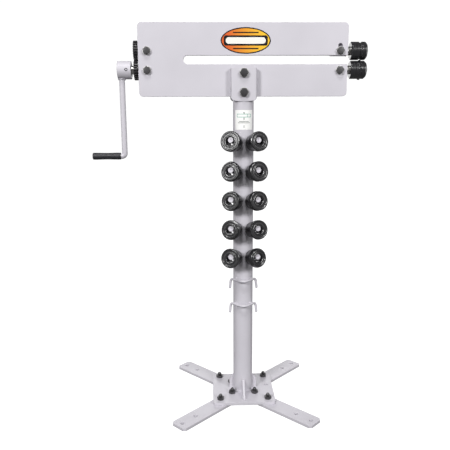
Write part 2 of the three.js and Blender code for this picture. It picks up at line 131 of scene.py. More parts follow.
def joined(*shapes):
    whole = bmesh.new()
    for shape in shapes:
        placed(shape)
        mesh = bpy.data.meshes.new("shape")
        shape.to_mesh(mesh)
        shape.free()
        whole.from_mesh(mesh)
        bpy.data.meshes.remove(mesh)
    return whole


def piece(name, bm, finish, body, *nodes):
    """Makes a shape an object that rides on a body, and stands for the CAD nodes that are named."""
    placed(bm)
    bmesh.ops.scale(bm, vec=(MM, MM, MM), verts=bm.verts[:])
    mesh = bpy.data.meshes.new(name)
    bm.to_mesh(mesh)
    bm.free()
    mesh.polygons.foreach_set("use_smooth", [True] * len(mesh.polygons))
    mesh.set_sharp_from_angle(angle=CRISP)
    mesh.materials.append(bpy.data.materials[finish])
    made = bpy.data.objects.new(name, mesh)
    bpy.context.scene.collection.objects.link(made)
    made.modifiers.new("flat faces stay flat", "WEIGHTED_NORMAL").keep_sharp = True
    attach(made, body)
    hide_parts(*nodes)
    return made


# ---------- outlines ----------
def arc(x, y, radius, start, end, steps=8):
    """Points on an arc from one angle to another in degrees, both ends included."""
    angles = [math.radians(start + (end - start) * i / steps) for i in range(steps + 1)]
    return [(x + radius * math.cos(a), y + radius * math.sin(a)) for a in angles]


def circle(x, y, radius, steps=32):
    return arc(x, y, radius, 0, 360 - 360 / steps, steps - 1)


def rounded_box(width, height, radius, x=0, y=0):
    across, up = width / 2 - radius, height / 2 - radius
    corners = [(across, up, 0), (-across, up, 90), (-across, -up, 180), (across, -up, 270)]
    return [p for cx, cy, a in corners for p in arc(x + cx, y + cy, radius, a, a + 90, 6)]


def soften(points, radius, closed=False, steps=3):
    """Replaces each corner of a profile by a small curve. An open profile keeps its two ends."""
    if closed:
        before, after = points[-1:] + points[:-1], points[1:] + points[:1]
        triples, made = list(zip(before, points, after)), []
    else:
        triples, made = list(zip(points, points[1:], points[2:])), [points[0]]
    for a, c, b in [map(Vector, triple) for triple in triples]:
        reach = min(radius, (a - c).length * 0.45, (b - c).length * 0.45)
        start = c + (a - c).normalized() * reach
        end = c + (b - c).normalized() * reach
        for i in range(steps + 1):
            t = i / steps
            made.append(tuple(start.lerp(c, t).lerp(c.lerp(end, t), t)))
    return made if closed else made + [points[-1]]


# ---------- shapes ----------
def outward(bm):
    """Turns every face of a closed shape to point out of it."""
    bmesh.ops.recalc_face_normals(bm, faces=bm.faces[:])
    return bm


def plate(outline, holes, thick, edge=0.8):
    """A flat plate from z = 0 to z = thick, with the edges of its outline and holes broken to a radius."""
    bm = bmesh.new()
    for loop in [outline, *holes]:
        verts = [bm.verts.new((x, y, edge)) for x, y in loop]
        for pair in zip(verts, verts[1:] + verts[:1]):
            bm.edges.new(pair)
    bmesh.ops.triangle_fill(bm, use_beauty=True, edges=bm.edges[:])
    grown = bmesh.ops.extrude_face_region(bm, geom=bm.faces[:], use_keep_orig=True)
    top = [v for v in grown["geom"] if isinstance(v, bmesh.types.BMVert)]
    bmesh.ops.translate(bm, verts=top, vec=(0, 0, thick - 2 * edge))
    outward(bm)
    for way in (-1, 1):
        cap = [f for f in bm.faces if f.normal.z * way > 0.99]
        for start, end in ((0, 45), (45, 90)):
            a, b = math.radians(start), math.radians(end)
            inward, rise = edge * (math.cos(a) - math.cos(b)), edge * (math.sin(b) - math.sin(a))
            bmesh.ops.inset_region(bm, faces=cap, thickness=inward, depth=rise, use_even_offset=True)
    return bm


def turned(profile, closed=False, steps=64, soft=0):
    """A profile of (radius, height) points, with its corners softened, turned about the Z axis."""
    profile = soften(profile, soft, closed) if soft else profile
    bm = bmesh.new()
    verts = [bm.verts.new((radius, 0, height)) for radius, height in profile]
    pairs = list(zip(verts, verts[1:])) + ([(verts[-1], verts[0])] if closed else [])
    edges = [bm.edges.new(pair) for pair in pairs]
    full = {"cent": (0, 0, 0), "axis": (0, 0, 1), "angle": math.tau, "steps": steps, "use_merge": True}
    bmesh.ops.spin(bm, geom=verts + edges, **full)
    bmesh.ops.remove_doubles(bm, verts=bm.verts[:], dist=1e-4)
    return outward(bm)


def hexagon(flats, low, high, chamfer_high=True, chamfer_low=False):
    """A hexagon bar along Z whose corners are turned off at one end or both, as on a bolt's head or a nut."""
    corner = flats / math.sqrt(3)
    inner = flats / 2 * 0.96
    drop = (corner - inner) * math.tan(math.radians(30))
    below = [(0, low), (corner, low)]
    if chamfer_low:
        below = [(0, low), (inner, low), (corner, low + drop)]
    above = [(corner, high), (0, high)]
    if chamfer_high:
        above = [(corner, high - drop), (inner, high), (0, high)]
    bm = turned(below + above, steps=72)
    for turn in range(6):
        angle = math.radians(60 * turn)
        away = Vector((math.cos(angle), math.sin(angle), 0))
        flat = {"plane_co": away * flats / 2, "plane_no": away, "clear_outer": True}
        cut = bmesh.ops.bisect_plane(bm, geom=bm.verts[:] + bm.edges[:] + bm.faces[:], **flat)
        rim = [e for e in cut["geom_cut"] if isinstance(e, bmesh.types.BMEdge)]
        bmesh.ops.edgeloop_fill(bm, edges=rim)
    return outward(bm)


def threaded(radius, low, high, pitch):
    """The end of a screw above `low`: its thread as rings, and a chamfered point."""
    profile = [(0, low), (radius, low)]
    rings = int((high - low - pitch) / pitch)
    for ring in range(rings):
        height = low + ring * pitch
        profile += [(radius, height + 0.15 * pitch), (radius - 0.6 * pitch, height + 0.5 * pitch)]
        profile += [(radius, height + 0.85 * pitch)]
    profile += [(radius - pitch, high), (0, high)]
    return turned(profile, steps=32)


def swept(stations, sides=16):
    """A round bar through stations of (point, radius), with its ends closed."""
    points = [Vector(point) for point, _ in stations]
    ways = [(b - a).normalized() for a, b in zip(points, points[1:])]
    tangents = [ways[0]] + [(a + b).normalized() for a, b in zip(ways, ways[1:])] + [ways[-1]]
    turn = tangents[0].to_track_quat("Z", "Y")
    bm = bmesh.new()
    bmesh.ops.create_circle(bm, cap_ends=True, segments=sides, radius=1)
    verts, edges, last = bm.verts[:], bm.edges[:], Matrix.Identity(4)
    for i, (point, (_, radius)) in enumerate(zip(points, stations)):
        if i:
            turn = tangents[i - 1].rotation_difference(tangents[i]) @ turn
            grown = bmesh.ops.extrude_edge_only(bm, edges=edges)["geom"]
            verts = [v for v in grown if isinstance(v, bmesh.types.BMVert)]
            new_edges = [e for e in grown if isinstance(e, bmesh.types.BMEdge)]
            edges = [e for e in new_edges if all(v in verts for v in e.verts)]
        here = Matrix.LocRotScale(point, turn, (radius, radius, radius))
        bmesh.ops.transform(bm, matrix=here @ last.inverted(), verts=verts)
        last = here
    bmesh.ops.contextual_create(bm, geom=edges)
    return outward(bm)


def round_tips(points, radius, steps=4):
    """Stations for a bar of one radius with a ball at each end."""
    points = [Vector(point) for point in points]
    first = (points[0] - points[1]).normalized()
    last = (points[-1] - points[-2]).normalized()
    angles = [math.radians(88 * i / steps) for i in range(steps, 0, -1)]
    head = [(points[0] + first * radius * math.sin(a), radius * math.cos(a)) for a in angles]
    tail = [(points[-1] + last * radius * math.sin(a), radius * math.cos(a)) for a in reversed(angles)]
    return head + [(point, radius) for point in points] + tail


def smooth_route(points, steps=6):
    """A Catmull-Rom curve through the points."""
    points = [Vector(point) for point in points]
    ends = [points[0] * 2 - points[1], *points, points[-1] * 2 - points[-2]]
    made = []
    for a, b, c, d in zip(ends, ends[1:], ends[2:], ends[3:]):
        for i in range(steps):
            t = i / steps
            square, cube = 2 * a - 5 * b + 4 * c - d, 3 * b - a - 3 * c + d
            made.append(0.5 * (2 * b + (c - a) * t + square * t**2 + cube * t**3))
    return made + [points[-1]]


def weld(points, radius):
    """A weld bead along a line: a bar whose thickness rises and falls with each ripple of the bead."""
    points = [Vector(point) for point in points]
    ripple, stations, run = 2.6, [], 0.0
    for a, b in zip(points, points[1:]):
        count = max(1, round((b - a).length / (ripple / 4)))
        for i in range(count):
            swell = 1 + 0.1 * math.sin(math.tau * run / ripple)
            stations.append((a.lerp(b, i / count), radius * swell))
            run += (b - a).length / count
    stations.append((points[-1], radius * 0.5))
    stations[0] = (points[0], radius * 0.5)
    return swept(stations, sides=8)


def flat_washer(size):
    """A plain washer along Z, whose lower face is at z = 0."""
    inner, outer, high = size["shank"], size["washer_radius"], size["washer"]
    return turned([(inner, 0), (outer, 0), (outer, high), (inner, high)], closed=True, soft=0.4)


def round_bar(radius, low, high, steps=32, soft=0):
    """A round bar along Z with flat ends."""
    return turned([(0, low), (radius, low), (radius, high), (0, high)], steps=steps, soft=soft)


def hex_bolt(size, shank_reach):
    """A bolt along Z: its head stands on a washer at z = 0, and its shank runs down into the joint."""
    seat = size["washer"]
    head = hexagon(size["flats"], seat + 0.4, seat + size["height"])
    collar = round_bar(size["flats"] * 0.47, seat, seat + 0.5, 48)
    return joined(head, collar, round_bar(size["shank"], -shank_reach, 1))


# ---------- finishes ----------
def add_node(tree, kind, settings=None, inputs=None):
    """Adds a node. An input that is another node's output is linked, and any other is set on the socket."""
    made = tree.nodes.new(kind)
    for name, value in (settings or {}).items():
        setattr(made, name, value)
    for name, value in (inputs or {}).items():
        socket = made.inputs[name]
        if isinstance(value, bpy.types.NodeSocket):
            tree.links.new(value, socket)
        else:
            socket.default_value = value
    return made


def emptied(made):
    """The node tree of a new material or world, without its usual nodes."""
    made.use_nodes = True
    made.node_tree.nodes.clear()
    return made.node_tree


def shade(colour, factor=1.0):
    return (*[min(1, channel * factor) for channel in colour], 1)


def turning_marks(tree):
    """A vector that is the same all the way round a turned shape, so that a pattern on it becomes rings."""
    own = add_node(tree, "ShaderNodeAttribute", {"attribute_name": "own"}).outputs["Vector"]
    parts = add_node(tree, "ShaderNodeSeparateXYZ", inputs={0: own})
    flat = add_node(tree, "ShaderNodeCombineXYZ", inputs={"X": parts.outputs["X"], "Y": parts.outputs["Y"]})
    radius = add_node(tree, "ShaderNodeVectorMath", {"operation": "LENGTH"}, {0: flat.outputs[0]})
    rings = {"X": radius.outputs["Value"], "Z": parts.outputs["Z"]}
    return add_node(tree, "ShaderNodeCombineXYZ", inputs=rings).outputs[0]


def cloud(tree, size_mm, detail, around=False):
    """A pattern with patches about size_mm wide on the object, or in rings round a turned shape."""
    if around:
        vector, scale = turning_marks(tree), 1 / size_mm
    else:
        vector, scale = add_node(tree, "ShaderNodeTexCoord").outputs["Object"], 1 / (size_mm * MM)
    inputs = {"Vector": vector, "Scale": scale, "Detail": detail}
    return add_node(tree, "ShaderNodeTexNoise", inputs=inputs).outputs[0]


def finish(name, colour, clouds, tone, roughness=None, relief=None, **fixed):
    """A material whose colour, roughness and relief follow patterns that `clouds` names.

    `tone` is a pattern, the two factors of the colour that it runs between and, if they aren't the usual
    ones, the two values of the pattern that they belong to. `roughness` is a pattern and two roughnesses.
    `relief` is a pattern, its depth in millimetres and its strength. Any other input is `fixed`.
    """
    tree = emptied(bpy.data.materials.new(name))
    patterns = {key: cloud(tree, *settings) for key, settings in clouds.items()}
    ramps = {"tone": (tone[0], 0, 1, *(tone[3:] or CLOUD_SPREAD))}
    if roughness:
        ramps["roughness"] = (*roughness, *CLOUD_SPREAD)
    driven = {}
    for key, (pattern, low, high, start, end) in ramps.items():
        ramp = {"Value": patterns[pattern], "From Min": start, "From Max": end, "To Min": low, "To Max": high}
        driven[key] = add_node(tree, "ShaderNodeMapRange", inputs=ramp).outputs["Result"]
    ends = {0: driven["tone"], 6: shade(colour, tone[1]), 7: shade(colour, tone[2])}
    mixed = add_node(tree, "ShaderNodeMix", {"data_type": "RGBA"}, ends)
    inputs = {"Base Color": mixed.outputs[2], **fixed}
    if roughness:
        inputs["Roughness"] = driven["roughness"]
    if relief:
        pattern, depth_mm, strength = relief
        heights = {"Height": patterns[pattern], "Distance": depth_mm * MM, "Strength": strength}
        inputs["Normal"] = add_node(tree, "ShaderNodeBump", inputs=heights).outputs["Normal"]
    shader = add_node(tree, "ShaderNodeBsdfPrincipled", inputs=inputs)
    add_node(tree, "ShaderNodeOutputMaterial", inputs={"Surface": shader.outputs["BSDF"]})


def powder_coat(colours):
    """Polyester powder coat, sprayed and baked: an even satin grey, with orange peel in its highlights."""
    # Real orange peel is about 1.5 mm across. It is drawn at 3 mm, so that it shows.
    clouds = {"peel": (3.0, 1.0), "drift": (110, 2.0), "sheen": (45, 3.0)}
    tone, roughness, relief = ("drift", 0.965, 1.02), ("sheen", 0.36, 0.46), ("peel", 0.12, 0.35)
    finish(PAINT, colours.paint, clouds, tone, roughness, relief, IOR=1.5)


def black_oxide(name, colour, low, high):
    """Turned tool steel, blacked in a hot salt bath and oiled: deep black magnetite with a stony shine."""
    # The tool's feed leaves grooves 0.2 mm apart. They are drawn at about 3 mm, so that they show.
    clouds = {"rings": (3.0, 2.0, True), "film": (9, 3.0)}
    # Magnetite's refractive index is about 2.4. The oil over it lowers what it reflects.
    finish(name, colour, clouds, ("film", 0.75, 1.3), ("rings", low, high), ("rings", 0.06, 0.3), IOR=1.85)


def ground_steel(colours):
    """Cold-drawn steel bar, ground and oiled: fine rings round it and a grey shine."""
    # The grinding scratches are under 0.1 mm apart. They are drawn at 0.8 mm, so that they show.
    clouds = {"rings": (0.8, 3.0, True), "oil": (14, 3.0)}
    roughness, relief = ("rings", 0.26, 0.36), ("rings", 0.02, 0.2)
    finish(STEEL, colours.steel, clouds, ("oil", 0.85, 1), roughness, relief, Metallic=1.0)


def zinc_plate(colours):
    """Electroplated zinc on pressed steel: pale, with a faint milky cloud."""
    finish(ZINC, colours.zinc, {"milk": (5, 3.0)}, ("milk", 0.9, 1), ("milk", 0.34, 0.5), Metallic=1.0)


def sintered_bronze(colours):
    """Pressed and sintered bronze, soaked in oil: matt, and dotted with pores."""
    # The pores are about 0.1 mm wide. They are drawn at 0.7 mm, so that they show.
    clouds, tone = {"pores": (0.7, 2.0)}, ("pores", 0.55, 1, 0.35, 0.5)
    finish(BRONZE, colours.bronze, clouds, tone, ("pores", 0.55, 0.38), ("pores", 0.1, 0.5), Metallic=1.0)


def moulded_plastic(colours):
    """Injection-moulded nylon: black, with the fine spark-eroded grain of its mould."""
    # The grain is about 0.1 mm. It is drawn at 0.6 mm, so that it shows.
    clouds = {"grain": (0.6, 2.0), "flow": (20, 2.0)}
    roughness, relief = ("grain", 0.38, 0.5), ("grain", 0.05, 0.5)
    finish(NYLON, colours.plastic, clouds, ("flow", 0.85, 1.2), roughness, relief, IOR=1.53)


def printed_film(name, code, roughness):
    """Printed self-adhesive vinyl: smooth and slightly glossy, with a faint mottle in the ink."""
    mottle = {"mottle": (2.5, 2.0)}
    finish(name, linear(code), mottle, ("mottle", 0.96, 1.02), IOR=1.5, Roughness=roughness)


def faded_film(name, left, right, roughness, reach=45):
    """Printed self-adhesive vinyl whose ink fades from one colour to another, `reach` each way."""
    tree = emptied(bpy.data.materials.new(name))
    own = add_node(tree, "ShaderNodeAttribute", {"attribute_name": "own"})
    parts = add_node(tree, "ShaderNodeSeparateXYZ", inputs={0: own.outputs["Vector"]})
    ramp = {"Value": parts.outputs["X"], "From Min": -reach, "From Max": reach}
    fade = add_node(tree, "ShaderNodeMapRange", inputs=ramp)
    ends = {0: fade.outputs["Result"], 6: shade(linear(left)), 7: shade(linear(right))}
    ink = add_node(tree, "ShaderNodeMix", {"data_type": "RGBA"}, ends)
    inputs = {"Base Color": ink.outputs[2], "IOR": 1.5, "Roughness": roughness}
    shader = add_node(tree, "ShaderNodeBsdfPrincipled", inputs=inputs)
    add_node(tree, "ShaderNodeOutputMaterial", inputs={"Surface": shader.outputs["BSDF"]})


# Each film: its colour and its roughness.
FILMS = {
    "white label film": ("f6f6f4", 0.45),
    "green label ink": ("5fa893", 0.45),
    "grey label ink": ("5f6461", 0.45),
    "charcoal badge film": ("1c191b", 0.25),
    "pale badge film": ("f1eee6", 0.3),
}


def make_finishes(colours):
    powder_coat(colours)
    black_oxide(POLISHED, colours.black_oxide, 0.16, 0.3)
    black_oxide(FASTENER, colours.fastener, 0.3, 0.48)
    ground_steel(colours)
    zinc_plate(colours)
    sintered_bronze(colours)
    moulded_plastic(colours)
    for name, (code, roughness) in FILMS.items():
        printed_film(name, code, roughness)
    faded_film("amber badge film", "d9622f", "f2c136", 0.25)


# ---------- stand ----------
CORNERS = {"front_left": 225, "front_right": 315, "rear_left": 135, "rear_right": 45}
BOLTS_OUT = {"inner": 31.5 * math.sqrt(2), "outer": 65.5 * math.sqrt(2)}
BASE_LOW, BASE_HIGH = span("base_plate")


def make_leg(corner, angle, edge):
    """A flat bar with a clipped tip and two anchor holes near it, and the two bolts that hold it."""
    start, tip, half, clip, thick = 26, 253, 25, 7, 8
    clipped = [(tip - clip, -half), (tip, clip - half), (tip, half - clip), (tip - clip, half)]
    anchor_holes = [circle(reach, 0, 5.5) for reach in (189, 236)]
    bar = plate([(start, -half), *clipped, (start, half)], anchor_holes, thick, edge)
    turn = Matrix.Rotation(math.radians(angle), 4, "Z")
    placed(bar, Matrix.Translation(FOOT), turn)
    piece(f"flat_bar_leg_{corner}", bar, PAINT, "stand", f"leg_{corner}")
    for name, reach in BOLTS_OUT.items():
        bolt = placed(leg_bolt(), Matrix.Translation(FOOT), turn, at(reach, 0, 0))
        piece(f"stud_and_nut_{name}_{corner}", bolt, FASTENER, "stand", f"leg_bolt_{name}_{corner}")


def leg_bolt():
    """A countersunk bolt from below, with a nut on the base plate and the thread standing out of it."""
    nut_low, nut_high, tip = 16.6, 24.6, 32
    head = turned([(0, 1.2), (3.2, 1.2), (3.6, 0), (7.6, 0), (8, 0.6), (5, 4), (5, 17), (0, 17)], steps=48)
    nut = hexagon(M10["flats"], nut_low, nut_high, chamfer_low=True)
    low = nut_high - 0.2
    dish = [(5.6, low), (7.6, low), (7.6, nut_high + 0.12), (5.6, nut_high - 0.1)]
    thread = threaded(4.9, nut_high - 1.5, tip, 1.5)
    return joined(head, nut, turned(dish, closed=True, steps=48), thread)


def make_base(edge):
    side = BASE_HIGH.x - BASE_LOW.x
    places = [(x, y, reach / math.sqrt(2)) for x in (-1, 1) for y in (-1, 1) for reach in BOLTS_OUT.values()]
    holes = [circle(x * out, y * out, 5.4) for x, y, out in places]
    spare_hole = circle(69, 15, 6)
    holes.append(spare_hole)
    base = plate(rounded_box(side, side, 10), holes, BASE_HIGH.z - BASE_LOW.z, edge)
    placed(base, at(FOOT.x, 0, BASE_LOW.z))
    piece("square_foot_plate", base, PAINT, "stand", "base_plate")


def make_gussets(edge, bead):
    thick, start, bead = 6, POST_RADIUS + 0.3, bead * 0.7
    for side, angle in {"right": 0, "rear": 90, "left": 180, "front": 270}.items():
        base, toe, height = (45, 4, 38) if side in ("front", "rear") else (11, 28, 42)
        outline = [(start, 0), (start + base, 0), (start + base, toe), (start + 4, height), (start, height)]
        rib = placed(plate(outline, [], thick, edge), at(0, thick / 2, 0), TO_FRONT)
        beads = []
        for way in (-1, 1):
            y = way * thick / 2
            beads.append(weld([(start + 2, y, 0.6), (start + base - 2, y, 0.6)], bead))
            beads.append(weld([(start, y, 3), (start, y, height - 2)], bead))
        turn = Matrix.Rotation(math.radians(angle), 4, "Z")
        shape = placed(joined(rib, *beads), at(FOOT.x, 0, POST_LOW.z), turn)
        piece(f"welded_gusset_{side}", shape, PAINT, "stand", f"gusset_{side}")


# ---------- post ----------
# Half of a tool hook's centre line, from its middle in front of the post to its tip beside it.
HOOK_HALF = [
    *[(0, -41, 0), (12, -34.5, 0), (23, -21.5, 0), (31, -12.5, -1)],
    *[(34.5, -11, -6), (35.5, -12, -15), (36.5, -13, -24)],
]


def end_centre(node, way):
    """The middle of a CAD node's end face along a direction, in millimetres."""
    points = {tuple(round(x / MM, 3) for x in v.co) for v in FRAME["nodes"][node].data.vertices}
    far = max(Vector(p).dot(way) for p in points)
    rim = [Vector(p) for p in points if Vector(p).dot(way) > far - 0.05]
    return sum(rim, Vector()) / len(rim)


def die_frame(place):
    """A frame at the middle of a stored die's front face, with Z out along its peg and Y up."""
    out = Vector(JOINTS[f"die_{place}_slide"]["axis"]).normalized()
    across = Vector((0, 0, 1)).cross(out).normalized()
    up = out.cross(across)
    centre = end_centre(f"stored_die_{place}", out)
    return Matrix.Translation(centre) @ Matrix((across, up, out)).transposed().to_4x4()


def peg_shape(frame, bead):
    """A peg in a stored die's frame, with the weld bead where it meets the post."""
    root, tip = -60, -PEG_RECESS  # its root is inside the post
    profile = [(0, root), (PEG_RADIUS, root), (PEG_RADIUS, tip), (2.2, tip), (1.2, tip - 1.6), (0, tip - 2.0)]
    peg = placed(turned(profile, steps=40, soft=0.9), frame, at(0, DIE_HANG, 0))
    out, up, across = frame.col[2].xyz, frame.col[1].xyz, frame.col[0].xyz
    middle = frame.translation + up * DIE_HANG - FOOT
    middle -= out * (middle.xy.dot(out.xy) / out.xy.length_squared)
    rim = []
    for step in range(25):
        turn = math.tau * step / 24
        start = middle + (across * math.cos(turn) + up * math.sin(turn)) * PEG_RADIUS
        reach, spread = start.xy.dot(out.xy), out.xy.length_squared
        along = math.sqrt(reach**2 - spread * (start.xy.length_squared - POST_RADIUS**2)) - reach
        rim.append(FOOT + start + out * along / spread)
    return joined(peg, weld(rim, bead))


def make_post(bead, edge):
    """The tube, with its pegs and their welds. Its top is let in for the saddle."""
    low, high, bore = POST_LOW.z, POST_HIGH.z, POST_RADIUS - POST_WALL
    wall = [(bore, low), (POST_RADIUS, low), (POST_RADIUS, high), (bore, high)]
    tube = turned(wall, closed=True, steps=96, soft=edge)
    foot = weld([(*p, low + 0.8) for p in arc(0, 0, POST_RADIUS + 0.8, 0, 360, 48)], bead)
    placed(tube, Matrix.Translation(FOOT))
    placed(foot, Matrix.Translation(FOOT))
    pegs = [peg_shape(die_frame(place), bead * 0.7) for place in FORMS]
    shape = joined(tube, foot, *pegs)
    notch_post(shape)
    piece("post_with_pegs", shape, PAINT, "stand", "post")


def notch_post(shape):
    """Moves the tube's wall in where the saddle's two webs lie against it, so that the webs show flush."""
    seat = span("saddle_front")[0].z
    depth = POST_RADIUS - 5.3
    for height in (seat - 0.3, seat):
        everything = shape.verts[:] + shape.edges[:] + shape.faces[:]
        bmesh.ops.bisect_plane(shape, geom=everything, plane_co=(0, 0, height), plane_no=(0, 0, 1))
    around = [v for v in shape.verts if v.co.z > seat - 0.1 and (v.co - FOOT).xy.length < POST_RADIUS + 0.5]
    for vert in around:
        vert.co.y = max(-depth, min(depth, vert.co.y))


def make_hooks(bead):
    """Two bent rods, each welded to the front of the post along two short lines on either side."""
    rod_radius = 3.5
    for level in ("upper", "lower"):
        height = span(f"tool_hook_{level}")[1].z - rod_radius
        half = [Vector(p) for p in HOOK_HALF]
        route = [Vector((-p.x, p.y, p.z)) for p in reversed(half[1:])] + half
        rod = swept(round_tips(smooth_route(route), rod_radius), sides=20)
        beads = []
        for side in (-1, 1):
            for rise in (-2.6, 2.6):
                turns = [math.radians(a) for a in (-56, -51, -46, -41, -36)]
                line = [(side * 27.6 * math.cos(a), 27.6 * math.sin(a), rise) for a in turns]
                beads.append(weld(line, bead * 0.8))
        shape = placed(joined(rod, *beads), at(FOOT.x, 0, height))
        piece(f"tool_hook_{level}_rod", shape, PAINT, "stand", f"tool_hook_{level}")


def post_film(width, low, high, centre=0.0, lift=0.12):
    """A patch of film wrapped round the front of the post, `width` wide along the curve."""
    radius = POST_RADIUS + lift
    bm = bmesh.new()
    bmesh.ops.create_grid(bm, x_segments=max(1, int(width / 1.5)), y_segments=1, size=0.5)
    bmesh.ops.transform(bm, matrix=Matrix.Diagonal((width, high - low, 1, 1)), verts=bm.verts[:])
    bmesh.ops.translate(bm, verts=bm.verts[:], vec=(centre, (low + high) / 2, 0))
    own = bm.verts.layers.float_vector.new("own")
    for vert in bm.verts:
        vert[own] = vert.co
        turn = vert.co.x / radius
        vert.co = (FOOT.x + radius * math.sin(turn), -radius * math.cos(turn), vert.co.y)
    outward(bm)
    if bm.faces[0].normal.y > 0:
        bmesh.ops.reverse_faces(bm, faces=bm.faces[:])
    return bm


def make_label():
    """A plain setting label: a divided green frame, and grey strokes and rules. It carries no words."""
    piece("post_label", post_film(51, 752, 802), "white label film", "stand")
    # Each mark: its width, its lower and upper edge, and how far its middle is to the right.
    marks = {
        "green": [
            *[(38, low, low + 1.2, 0) for low in (791, 783.5)],
            *[(1.2, 783.5, 792.2, x) for x in (-18.5, 18.5, 9)],
        ],
        "grey": [
            *[(1.8, 777, 783, 0), (1.8, 792.5, 796, 0), (4.2, 794.4, 795.6, 0)],
            *[(26, 772.2, 773.6, 0), (33, 768.8, 770.2, 0), (3.4, 757.8, 759, 0), (1.2, 757.8, 763.5, 0)],
        ],
    }
    for name, rows in marks.items():
        strips = [post_film(*row, lift=0.2) for row in rows]
        piece(f"post_label_{name}_marks", joined(*strips), f"{name} label ink", "stand")


# ---------- frame plate and saddle ----------
BLOCKS = [
    (level, end, *span(f"bearing_block_{end}_{level}"))
    for level in ("upper", "lower")
    for end in ("rear", "front")
]


def bolt_place(node):
    """The middle of a bolt that runs along Y."""
    low, high = span(node)
    return (low + high) / 2


def make_frame_plate(edge):
    """The deep-throated plate: a long slot open at the dies' end, and a short one for the bolt that rises."""
    size = PLATE_HIGH - PLATE_LOW
    right, top, mouth, corner = size.x / 2, size.z / 2, 3, 10
    outline = [
        *arc(right - mouth, THROAT_HALF + mouth, mouth, 270, 360, 4),
        *arc(right - corner, top - corner, corner, 0, 90),
        *arc(corner - right, top - corner, corner, 90, 180),
        *arc(corner - right, corner - top, corner, 180, 270),
        *arc(right - corner, corner - top, corner, 270, 360),
        *arc(right - mouth, -THROAT_HALF - mouth, mouth, 0, 90, 4),
        *arc(right - THROAT_DEPTH + THROAT_HALF, 0, THROAT_HALF, 270, 90, 20),
    ]
    holes = []
    for node in ("block_bolt_rear_upper", "block_bolt_rear_lower", "block_bolt_front_lower"):
        place = bolt_place(node) - HEAD
        holes.append(circle(place.x, place.z, 5.5))
    place = bolt_place("block_bolt_front_upper") - HEAD
    slot_half, lift = 6, 12.5
    slot_top = arc(place.x, place.z + lift, slot_half, 0, 180, 12)
    holes.append([*slot_top, *arc(place.x, place.z, slot_half, 180, 360, 12)])
    for node in ("saddle_bolt_upper", "saddle_bolt_lower"):
        holes.append(circle(0, bolt_place(node).z - HEAD.z, 6.4))
    shape = placed(plate(outline, holes, size.y, edge), at(HEAD.x, size.y / 2, HEAD.z), TO_FRONT)
    piece("throat_plate", shape, PAINT, "stand", "frame_plate")


def ellipse(width, height, steps=72):
    turns = [math.tau * i / steps for i in range(steps)]
    return [(width / 2 * math.cos(turn), height / 2 * math.sin(turn)) for turn in turns]


def make_badge():
    """A plain oval sticker in charcoal, amber and off-white. It carries no mark and no words."""
    film = 0.12
    rules = [rounded_box(66, 3, 1.4, 0, y) for y in (19.5, -19.5)]
    layers = [
        ("rim", "charcoal badge film", [ellipse(128, 65)]),
        ("field", "amber badge film", [ellipse(122, 59)]),
        ("stripes", "charcoal badge film", [rounded_box(112, 25, 5), *rules]),
        ("bar", "pale badge film", [rounded_box(102, 16, 7.5)]),
    ]
    for i, (name, finish_name, outlines) in enumerate(layers):
        films = [plate(outline, [], film, film / 4) for outline in outlines]
        place = at(HEAD.x + 5.5, PLATE_LOW.y - film * i, HEAD.z + 47)
        shape = joined(*[placed(layer, place, TO_FRONT) for layer in films])
        piece(f"oval_badge_{name}", shape, finish_name, "stand")


def saddle_shape(top, bottom, edge):
    """Plate bent to a channel with its web in front. The web's lower edge bows down in the middle."""
    half, bend, wall, flange = 33.3, 5.5, 5, -5.3
    left_bend = arc(bend - half, bend - POST_RADIUS, bend, 180, 270, 5)
    right_bend = arc(half - bend, bend - POST_RADIUS, bend, 270, 360, 5)
    web = [(-half + bend + (2 * half - 2 * bend) * i / 24, -POST_RADIUS) for i in range(1, 24)]
    path = [(-half, flange), (-half, -POST_RADIUS / 2), *left_bend, *web, *right_bend]
    path += [(half, -POST_RADIUS / 2), (half, flange)]
    bm = bmesh.new()
    verts = [bm.verts.new((x, y, lower_edge(x, half, bottom))) for x, y in path]
    edges = [bm.edges.new(pair) for pair in zip(verts, verts[1:])]
    grown = bmesh.ops.extrude_edge_only(bm, edges=edges)["geom"]
    for vert in [v for v in grown if isinstance(v, bmesh.types.BMVert)]:
        vert.co.z = top
    outward(bm)
    if sum(f.normal.y * f.calc_area() for f in bm.faces) > 0:
        bmesh.ops.reverse_faces(bm, faces=bm.faces[:])
    bmesh.ops.solidify(bm, geom=bm.faces[:], thickness=wall)
    rim = [e for e in bm.edges if len(e.link_faces) == 2 and e.calc_face_angle() > math.radians(60)]
    rounding = {"offset_type": "OFFSET", "segments": 2, "profile": 0.5, "affect": "EDGES", "material": -1}
    bmesh.ops.bevel(bm, geom=rim, offset=edge, clamp_overlap=True, **rounding)
    return outward(bm)


def lower_edge(x, half, bottom, corner=8, bulge=3):
    """The height of the saddle's lower edge: lowest in the middle, and rounded up at both sides."""
    reach = abs(x)
    flat = half - corner + 2.7
    if reach > flat:
        return bottom + bulge + corner - math.sqrt(max(0, corner**2 - (reach - half + corner) ** 2))
    return bottom + bulge * (reach / flat) ** 1.7


